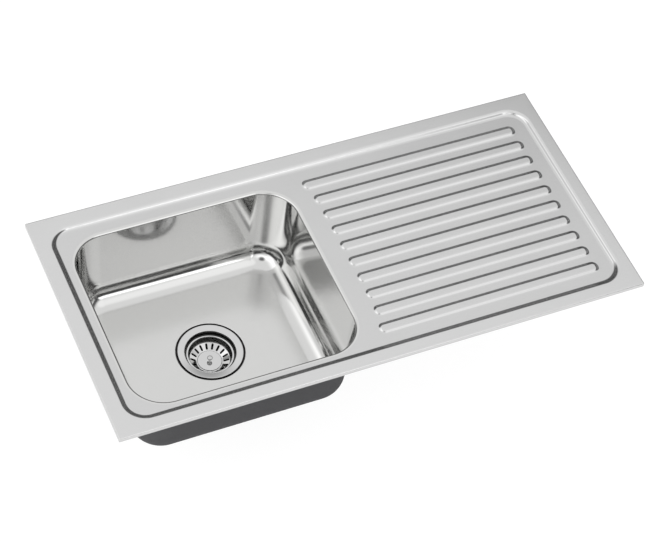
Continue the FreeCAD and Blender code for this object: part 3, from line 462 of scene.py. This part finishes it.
def pressed_steel(name, colour, painted_shade_colour, roughness, dull_roughness, dull_shade_low, dull_shade_high):
    """Pressed stainless: polished, and between two heights rougher and darkened with painted shade.
    """
    material, tree = new_material(name)
    place = add_node(tree, "ShaderNodeTexCoord")
    parts = add_node(tree, "ShaderNodeSeparateXYZ", {0: place.outputs["Object"]})
    above = add_node(tree, "ShaderNodeMapRange", {
        "Value": parts.outputs["Z"], "From Min": dull_shade_high - 1.0 * mm, "From Max": dull_shade_high,
    })
    below = add_node(tree, "ShaderNodeMapRange", {
        "Value": parts.outputs["Z"], "From Min": dull_shade_low + 1.0 * mm, "From Max": dull_shade_low,
    })
    polished_unshaded = add_node(
        tree, "ShaderNodeMath", {0: above.outputs[0], 1: below.outputs[0]}, operation="MAXIMUM")
    # painted shade: between the two heights the colour turns dark
    tint = add_node(tree, "ShaderNodeMix", {
        "Factor": polished_unshaded.outputs[0], "A": linear(painted_shade_colour), "B": linear(colour),
    }, data_type="RGBA")
    rough = add_node(tree, "ShaderNodeMapRange", {
        "Value": polished_unshaded.outputs[0], "To Min": dull_roughness, "To Max": roughness,
    })
    steel = add_node(tree, "ShaderNodeBsdfPrincipled", {
        "Base Color": tint.outputs["Result"], "Metallic": 1.0, "Roughness": rough.outputs[0],
    })
    finish_material(tree, steel)
    return material


def polished_steel(name, colour, roughness, wave_mm, wave_depth_mm):
    """Polished stainless: nearly a mirror, with the slow waves that drawing leaves."""
    material, tree = new_material(name)
    place = add_node(tree, "ShaderNodeTexCoord")
    wave = add_node(tree, "ShaderNodeTexNoise", {
        "Vector": place.outputs["Object"], "Scale": 1.0 / (wave_mm * mm), "Detail": 1.0,
    })
    bump = add_node(tree, "ShaderNodeBump", {
        "Height": wave.outputs["Fac"], "Strength": 1.0, "Distance": wave_depth_mm * mm,
    })
    steel = add_node(tree, "ShaderNodeBsdfPrincipled", {
        "Base Color": linear(colour), "Metallic": 1.0,
        "Roughness": roughness, "Normal": bump.outputs[0],
    })
    finish_material(tree, steel)
    return material


def grainy(name, dark, light, grain_mm, depth_mm, roughness, metallic=0.0):
    """Moulded, sprayed or plated surface: a fine even grain in colour and height."""
    material, tree = new_material(name)
    place = add_node(tree, "ShaderNodeTexCoord")
    grain = add_node(tree, "ShaderNodeTexNoise", {
        "Vector": place.outputs["Object"], "Scale": 1.0 / (grain_mm * mm), "Detail": 4.0,
    })
    colour = add_node(tree, "ShaderNodeMix", {
        "Factor": grain.outputs["Fac"], "A": linear(dark), "B": linear(light),
    }, data_type="RGBA")
    bump = add_node(tree, "ShaderNodeBump", {
        "Height": grain.outputs["Fac"], "Strength": 1.0, "Distance": depth_mm * mm,
    })
    shader = add_node(tree, "ShaderNodeBsdfPrincipled", {
        "Base Color": colour.outputs["Result"], "Metallic": metallic,
        "Roughness": roughness, "Normal": bump.outputs[0],
    })
    finish_material(tree, shader)
    return material


# satin sheet: reflections stay soft and slightly drawn out along the sink
# the second colour is painted shade on the ledge below the rim
rolled_deck = rolled_steel(
    "rolled stainless, satin", "#d5d5d5", "#cfcfcf", roughness=0.2,
    grain_mm=0.5, grain_depth_mm=0.0006)
# drawn bowl: walls show dark and light bands almost sharply, the floor only as a soft sheen
# the second colour is painted shade in the seat round the waste
drawn_bowl = drawn_steel(
    "drawn stainless, polished walls", "#d4d4d3", "#2b2b2b", wall=0.1, floor=0.2,
    wave_mm=60.0, wave_depth_mm=0.05, grain_mm=12.0)
# small turned and pressed pieces: crisp highlights
bright_steel = polished_steel(
    "polished stainless", "#cacaca", roughness=0.06, wave_mm=8.0, wave_depth_mm=0.01)
# dish: bright flange round a throat darkened with painted shade
dish_steel = pressed_steel(
    "pressed stainless dish, painted shade inside", "#d0d0d0", "#4a4a49", roughness=0.06,
    dull_roughness=0.35, dull_shade_low=floor_top - 60 * mm, dull_shade_high=floor_top - 1.5 * mm)
# basket: bright rim and slotted cone, with painted shade darkening the wall between them
basket_steel = pressed_steel(
    "pressed stainless basket, painted shade on wall", "#cecece", "#5c5c5b", roughness=0.08,
    dull_roughness=0.25, dull_shade_low=floor_top - 20.5 * mm, dull_shade_high=floor_top - 9.5 * mm)
# zinc plate: bluish and slightly blurred beside the stainless
zinc = grainy(
    "bright zinc plate", "#a9acb0", "#c3c6c9", grain_mm=0.4, depth_mm=0.01, roughness=0.32,
    metallic=1.0)
# sprayed coat: dry dark grey with an orange-peel grain
sprayed_coat = grainy(
    "sprayed bitumen coat", "#444446", "#5e5e60", grain_mm=0.9, depth_mm=0.25, roughness=0.85)
# foam: nearly black, with no highlight
foam = grainy(
    "closed-cell foam", "#1c1c1d", "#303032", grain_mm=0.5, depth_mm=0.12, roughness=0.9)
# rubber: black with a dull sheen
rubber = grainy("moulded rubber", "#141414", "#222223", grain_mm=0.3, depth_mm=0.01, roughness=0.55)
# polypropylene: off-white and waxy
plastic = grainy(
    "moulded polypropylene", "#e2e2df", "#ececea", grain_mm=0.6, depth_mm=0.01, roughness=0.38)
# brass: warm, with fine tool marks
brass = grainy(
    "machined brass", "#a98743", "#c7a35c", grain_mm=0.2, depth_mm=0.008, roughness=0.28,
    metallic=1.0)

# ---------------------------------------------------------------- deck


def grow(half, by):
    """Half lengths of a rectangle, each made larger by the same amount."""
    return (half[0] + by, half[1] + by)


def wear(piece, finish, body, node):
    """Finish, body, replaced CAD node and material slot of a piece."""
    piece.data.materials.clear()
    piece.data.materials.append(finish)
    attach(piece, body)
    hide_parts(node)


def build_rib():
    """One pressed rib of the middle row's length, open below."""
    side = rib_height / math.tan(rib_slope)
    profile = soften((
        (-3 * mm, 0, 0), (0, 0, rib_bend), (side, rib_height, rib_bend),
        (side + 3 * mm, rib_height, 0),
    ), steps=8)[1:-1]
    half = ((rib_right - rib_left) / 2, rib_half_width)
    centre = ((rib_right + rib_left) / 2, 0.0)
    bm = bmesh.new()
    rows = skin(bm, [
        rounded_ring(grow(half, -p.x), rib_corner - p.x, ledge_top + p.y, centre, steps=10)
        for p in profile
    ])
    bm.faces.new(rows[-1])
    mesh = bpy.data.meshes.new("rib")
    bm.to_mesh(mesh)
    bm.free()
    return bpy.data.objects.new("rib", mesh)


def build_deck():
    """Lip, rim, step, ledge and ribs as one pressed sheet, open at the bowl."""
    run = (rim_top - ledge_top) / math.tan(step_slope)
    lip = soften((
        (0, 0, 0), (0, rim_top, lip_bend), (10 * mm, rim_top, 0),
    ), steps=6)[:-1]
    step = soften((
        (-10 * mm, rim_top, 0), (0, rim_top, step_bend),
        (run, ledge_top, step_bend), (20 * mm, ledge_top, 0),
    ), steps=10)[1:-1]
    rings = [rounded_ring(grow(deck_half, -p.x), lip_corner - p.x, p.y) for p in lip]
    rings += [
        rounded_ring(grow(step_half, -p.x), step_corner - p.x, p.y, step_centre) for p in step
    ]
    bm = bmesh.new()
    rows = skin(bm, rings)
    seam_corner = mouth_corner + weld_land
    seam = skin(bm, [rounded_ring(seam_half, seam_corner, ledge_top, bowl_centre, steps=32)])[0]
    for index, vertex in enumerate(seam):
        bm.edges.new((vertex, seam[(index + 1) % len(seam)]))
    rib = build_rib()
    ribs = run_tree("rib_row", rib_row_tree(), {
        "Rib": rib, "Count": rib_count, "Front": rib_front_row, "Back": rib_back_row,
        "Bow": rib_bow, "Middle": (rib_left + rib_right) / 2, "Material": rolled_deck,
    })
    bm.from_mesh(ribs.data)
    bpy.data.objects.remove(ribs)
    bpy.data.objects.remove(rib)
    bm.edges.ensure_lookup_table()
    lying = [
        e for e in bm.edges
        if len(e.link_faces) < 2 and all(abs(v.co.z - ledge_top) < 0.01 * mm for v in e.verts)
    ]
    bmesh.ops.triangle_fill(
        bm, use_beauty=True, use_dissolve=False, edges=lying, normal=(0, 0, 1))
    face_up(bm)
    deck = finish_mesh("pressed_deck", bm, sheet_thickness=sheet)
    wear(deck, rolled_deck, "sink", "deck")


# ---------------------------------------------------------------- bowl

lip_roll, foot_bend = 4.0 * mm, 40.0 * mm
foot_reach = 70.0 * mm
seat_radius, seat_depth, seat_edge = 59.5 * mm, 3.0 * mm, 1.5 * mm
hole_radius = 46.5 * mm


def build_bowl():
    """Land, rolled lip, drafted wall, bottom corner, floor and the seat of the waste."""
    foot = lip_roll + (ledge_top - floor_top) * bowl_draft
    profile = soften((
        (-weld_land, ledge_top, 0), (lip_roll, ledge_top, lip_roll),
        (foot, floor_top, foot_bend), (foot_reach, floor_top, 0),
    ), steps=20)[:-1]
    bm = bmesh.new()
    rows = skin(bm, [
        rounded_ring(grow(mouth_half, -p.x), mouth_corner - p.x, p.y, bowl_centre, steps=32)
        for p in profile
    ])
    seat = soften((
        (seat_radius + 3 * mm, floor_top, 0), (seat_radius, floor_top, seat_edge),
        (seat_radius, floor_top - seat_depth, 0.8 * mm), (hole_radius, floor_top - seat_depth, 0),
    ), steps=4)[1:]
    drain = skin(bm, [circle_ring(p.x, p.y, waste_centre) for p in seat])
    bmesh.ops.triangle_fill(
        bm, use_beauty=True, use_dissolve=False, normal=(0, 0, 1),
        edges=ring_edges(rows[-1]) + ring_edges(drain[0]),
    )
    face_up(bm)
    bowl = finish_mesh("drawn_bowl", bm, sheet_thickness=sheet)
    wear(bowl, drawn_bowl, "sink", "bowl")


# ---------------------------------------------------------------- strainer


def slot_outline(inner, outer, width, steps=6):
    """Points round a slot with round ends that lies along X."""
    half = width / 2
    points = []
    for middle, start in ((outer - half, -math.pi / 2), (inner + half, math.pi / 2)):
        for step in range(steps + 1):
            angle = start + math.pi * step / steps
            points.append((middle + half * math.cos(angle), half * math.sin(angle)))
    return points


def slotted_sector(name, profile, count, slot, steps):
    """One of count sectors of a turned sheet, with a slot through the band that holds it.

    The profile runs inwards as (radius, up) and the slot is (inner, outer, width).
    """
    angle = 2 * math.pi / count
    turns = [angle * (step / steps - 0.5) for step in range(steps + 1)]
    bm = bmesh.new()
    rows = [
        [bm.verts.new((r * math.cos(a), r * math.sin(a), up)) for a in turns] for r, up in profile
    ]
    for (far, near), (first, second) in zip(zip(rows, rows[1:]), zip(profile, profile[1:])):
        if not (first[0] > slot[1] and second[0] < slot[0]):
            for index in range(steps):
                bm.faces.new((far[index], far[index + 1], near[index + 1], near[index]))
            continue
        loop = [bm.verts.new((x, y, 0)) for x, y in slot_outline(*slot)]
        rims = [(row[i], row[i + 1]) for row in (far, near) for i in range(steps)]
        rims += [(far[0], near[0]), (far[-1], near[-1])]
        rims += [(loop[i], loop[(i + 1) % len(loop)]) for i in range(len(loop))]
        for vertex in far + near:
            vertex.co.z = 0
        edges = [bm.edges.get(pair) or bm.edges.new(pair) for pair in rims]
        bmesh.ops.triangle_fill(
            bm, use_beauty=True, use_dissolve=False, edges=edges, normal=(0, 0, 1))
        for vertex in far + near + loop:
            share = (first[0] - vertex.co.to_2d().length) / (first[0] - second[0])
            vertex.co.z = first[1] + (second[1] - first[1]) * share
    mesh = bpy.data.meshes.new(name)
    bm.to_mesh(mesh)
    bm.free()
    return bpy.data.objects.new(name, mesh)


def slotted_ring(name, profile, count, slot, steps, thickness, finish, body, node):
    """A turned sheet with count slots, in the place of its CAD node over the waste hole."""
    profile = [(x * mm, z * mm) for x, z in profile]
    slot = [part * mm for part in slot]
    sector = slotted_sector(name + "_sector", profile, count, slot, steps)
    values = {"Sector": sector, "Count": count, "Material": finish}
    ring = run_tree(name + "_ring", ring_tree(), values)
    bm = bmesh.new()
    bm.from_mesh(ring.data)
    bpy.data.objects.remove(ring)
    bpy.data.objects.remove(sector)
    bmesh.ops.translate(bm, verts=bm.verts, vec=(*waste_centre, floor_top))
    face_up(bm)
    piece = finish_mesh(name, bm, sheet_thickness=thickness * mm, sharp_angle=50.0)
    wear(piece, finish, body, node)


def build_dish():
    """Flange, throat, ledge for the basket, cup, slotted floor and the dimple for the screw."""
    profile = soften((
        (56.4, -0.8, 0), (56.4, 0.5, 1.0), (44, -1.0, 1.6), (44, -11, 0.8), (40.2, -11, 0.8),
        (40.2, -41, 3), (9, -41, 1), (9, -46, 1), (3.3, -46, 0),
    ), steps=5)
    slotted_ring(
        "strainer_dish", profile, count=14, slot=(13, 25, 3.8), steps=8, thickness=0.9,
        finish=dish_steel, body="sink", node="waste_flange")


def build_basket():
    """Basket: rolled rim, short wall, slotted cone and the raised disc under the knob."""
    profile = soften((
        (41.4, -10.8, 0), (41.4, -8.4, 1.0), (37.6, -8.4, 1.0), (37.6, -11.5, 3),
        (35, -21.5, 1.5), (22.6, -28, 1.0), (21.4, -28, 0.3), (20.6, -26.8, 0.6), (2.3, -26.8, 0),
    ), steps=5)
    slotted_ring(
        "slotted_basket", profile, count=18, slot=(23.6, 33.6, 3.8), steps=6, thickness=0.8,
        finish=basket_steel, body="basket", node="basket_cup")


def build_knob():
    """Turned knob with a waist and a domed head, on its stem."""
    head = soften((
        (0, -34.5, 0), (2.2, -34.5, 0.4), (2.2, -22, 0.8), (4.4, -20.6, 1.2), (5, -17.6, 1.6),
        (0, -16.4, 0),
    ), steps=6)
    profile = [point * mm for point in head]
    knob = turned("basket_knob_turned", profile, waste_centre, floor_top, steps=48)
    wear(knob, bright_steel, "basket", "basket_knob")


def dress(material, *nodes):
    """Give CAD nodes a finish."""
    for node in nodes:
        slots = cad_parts[node].data.materials
        slots.clear()
        slots.append(material)


build_deck()
build_bowl()
build_dish()
build_basket()
build_knob()

dress(sprayed_coat, "bowl_undercoat")
dress(foam, "rim_seal")
dress(bright_steel, "basket_clip", "waste_screw")
dress(rubber, "flange_seal", "body_seal", "basket_stopper")
dress(plastic, "waste_body")
dress(brass, "hub_nut")
clip_nodes = [f"clip_{kind}_{n}" for n in range(1, 9) for kind in ("washer", "jaw", "nut")]
dress(zinc, "clip_brackets", "clip_studs", *clip_nodes)

# ---------------------------------------------------------------- studio


def seen_directly(tree):
    """One for rays that show the set: straight to the camera, in metal and through glass."""
    path = add_node(tree, "ShaderNodeLightPath")
    found = path.outputs["Is Camera Ray"]
    for kind in ("Is Glossy Ray", "Is Transmission Ray"):
        either = add_node(
            tree, "ShaderNodeMath", {0: found, 1: path.outputs[kind]}, operation="MAXIMUM")
        found = either.outputs[0]
    return found


def set_piece(name, bm, material):
    """A part of the studio from a bmesh."""
    mesh = bpy.data.meshes.new(name)
    bm.to_mesh(mesh)
    bm.free()
    mesh.materials.append(material)
    thing = bpy.data.objects.new(name, mesh)
    bpy.context.collection.objects.link(thing)
    return thing


def build_floor():
    """A pale floor well below the part, seen white with a soft shadow, and clear from below."""
    material, tree = new_material("pale paper floor")
    shadow_share = 0.2
    paper = add_node(tree, "ShaderNodeBsdfDiffuse", {"Color": linear("#d9d9d9")})
    white = add_node(tree, "ShaderNodeEmission", {"Color": linear("#ffffff"), "Strength": 0.9})
    shadow = add_node(tree, "ShaderNodeBsdfDiffuse", {"Color": (*[shadow_share] * 3, 1.0)})
    lit = add_node(tree, "ShaderNodeAddShader", {0: white.outputs[0], 1: shadow.outputs[0]})
    seen = add_node(tree, "ShaderNodeMixShader", {
        0: seen_directly(tree), 1: paper.outputs[0], 2: lit.outputs[0],
    })
    side = add_node(tree, "ShaderNodeNewGeometry")
    clear = add_node(tree, "ShaderNodeBsdfTransparent")
    from_below = add_node(tree, "ShaderNodeMixShader", {
        0: side.outputs["Backfacing"], 1: seen.outputs[0], 2: clear.outputs[0],
    })
    finish_material(tree, from_below)
    bm = bmesh.new()
    gap_below = 30.0 * mm
    bmesh.ops.create_grid(bm, x_segments=4, y_segments=4, size=8.0)
    bmesh.ops.translate(bm, verts=bm.verts, vec=(0, 0, cad_low.z - gap_below))
    set_piece("floor", bm, material)


def towards(azimuth, elevation):
    """Unit vector for an azimuth from +X and an elevation, in degrees."""
    turn, rise = math.radians(azimuth), math.radians(elevation)
    level = math.cos(rise)
    return Vector((level * math.cos(turn), level * math.sin(turn), math.sin(rise)))


def panel(tree, direction, azimuth, elevation, reach, fade, strength):
    """A soft round patch of the studio: full up to reach degrees from its middle, gone at fade."""
    dot = add_node(tree, "ShaderNodeVectorMath", {
        0: direction, 1: towards(azimuth, elevation),
    }, operation="DOT_PRODUCT")
    patch = add_node(tree, "ShaderNodeMapRange", {
        "Value": dot.outputs["Value"],
        "From Min": math.cos(math.radians(fade)), "From Max": math.cos(math.radians(reach)),
        "To Min": 0.0, "To Max": strength,
    }, interpolation_type="SMOOTHSTEP")
    return patch.outputs[0]


def build_wall():
    """A graded wall round the set, which steel mirrors: dark at the back, white towards the top.

    It has a bright panel in front, dimmer ones on the left, and a dark patch where camera and
    tripod stand. The camera looks past it.
    """
    material, tree = new_material("graded studio wall")
    place = add_node(tree, "ShaderNodeTexCoord")
    ray = add_node(
        tree, "ShaderNodeVectorMath", {0: place.outputs["Object"]}, operation="NORMALIZE")
    direction = ray.outputs["Vector"]
    total = panel(tree, direction, 228, 83, 48, 64, 1.0)
    for light in (
        # in front: the light line on the back step
        panel(tree, direction, 287, 21, 11, 15, 1.5),
        # higher in front: the sheen on the rib fronts and the bowl's back wall
        panel(tree, direction, 304, 54, 8, 22, 0.25),
        # left and behind: the lines on the right step
        panel(tree, direction, 138, 36, 8, 24, 0.15),
        panel(tree, direction, 170, 8, 25, 58, 0.65),
        # left and in front
        panel(tree, direction, 228, 0, 25, 60, 0.7),
        # a dim share low down all round
        panel(tree, direction, 0, -90, 110, 150, 0.12),
    ):
        total = add_node(tree, "ShaderNodeMath", {0: total, 1: light}, operation="ADD").outputs[0]
    dark = panel(tree, direction, 236, 47, 3, 14, -0.85)
    left_over = add_node(tree, "ShaderNodeMath", {0: dark, 1: 1.0}, operation="ADD")
    patched = add_node(
        tree, "ShaderNodeMath", {0: total, 1: left_over.outputs[0]}, operation="MULTIPLY")
    glow = add_node(tree, "ShaderNodeEmission", {
        "Color": linear("#ffffff"), "Strength": patched.outputs[0],
    })
    finish_material(tree, glow)
    material.cycles.emission_sampling = "NONE"
    distance = 6.0  # metres, beyond the camera
    rises = [math.radians(elevation) for elevation in range(-10, 77, 2)]
    bm = bmesh.new()
    skin(bm, [circle_ring(distance * math.cos(r), distance * math.sin(r)) for r in rises])
    set_piece("studio_wall", bm, material).visible_camera = False


def build_world():
    """The white paper above and behind the set, for the camera and for every reflection alike."""
    world = bpy.data.worlds.new("white paper")
    bpy.context.scene.world = world
    world.use_nodes = True
    world.node_tree.nodes.clear()
    paper = add_node(
        world.node_tree, "ShaderNodeBackground", {"Color": linear("#ffffff"), "Strength": 1.0})
    add_node(world.node_tree, "ShaderNodeOutputWorld", {"Surface": paper.outputs[0]})


def build_camera():
    """The photograph's view, worked out from the vanishing points of the rim."""
    forward = Vector((0.31278, 0.54083, -0.78082))
    right = Vector((0.91423, -0.39436, 0.09308))
    up = right.cross(forward)
    data = bpy.data.cameras.new("camera")
    data.sensor_width = 36.0
    data.lens = 121.15  # millimetres, for that sensor
    data.clip_start, data.clip_end = 0.1, 50.0
    camera = bpy.data.objects.new("camera", data)
    bpy.context.collection.objects.link(camera)
    turn = Matrix((right, up, -forward)).transposed().to_4x4()
    camera.matrix_world = Matrix.Translation((-1.1937, -2.0673, 2.9448)) @ turn
    bpy.context.scene.camera = camera


build_floor()
build_wall()
build_world()
build_camera()
bpy.context.scene.view_settings.view_transform = "Standard"
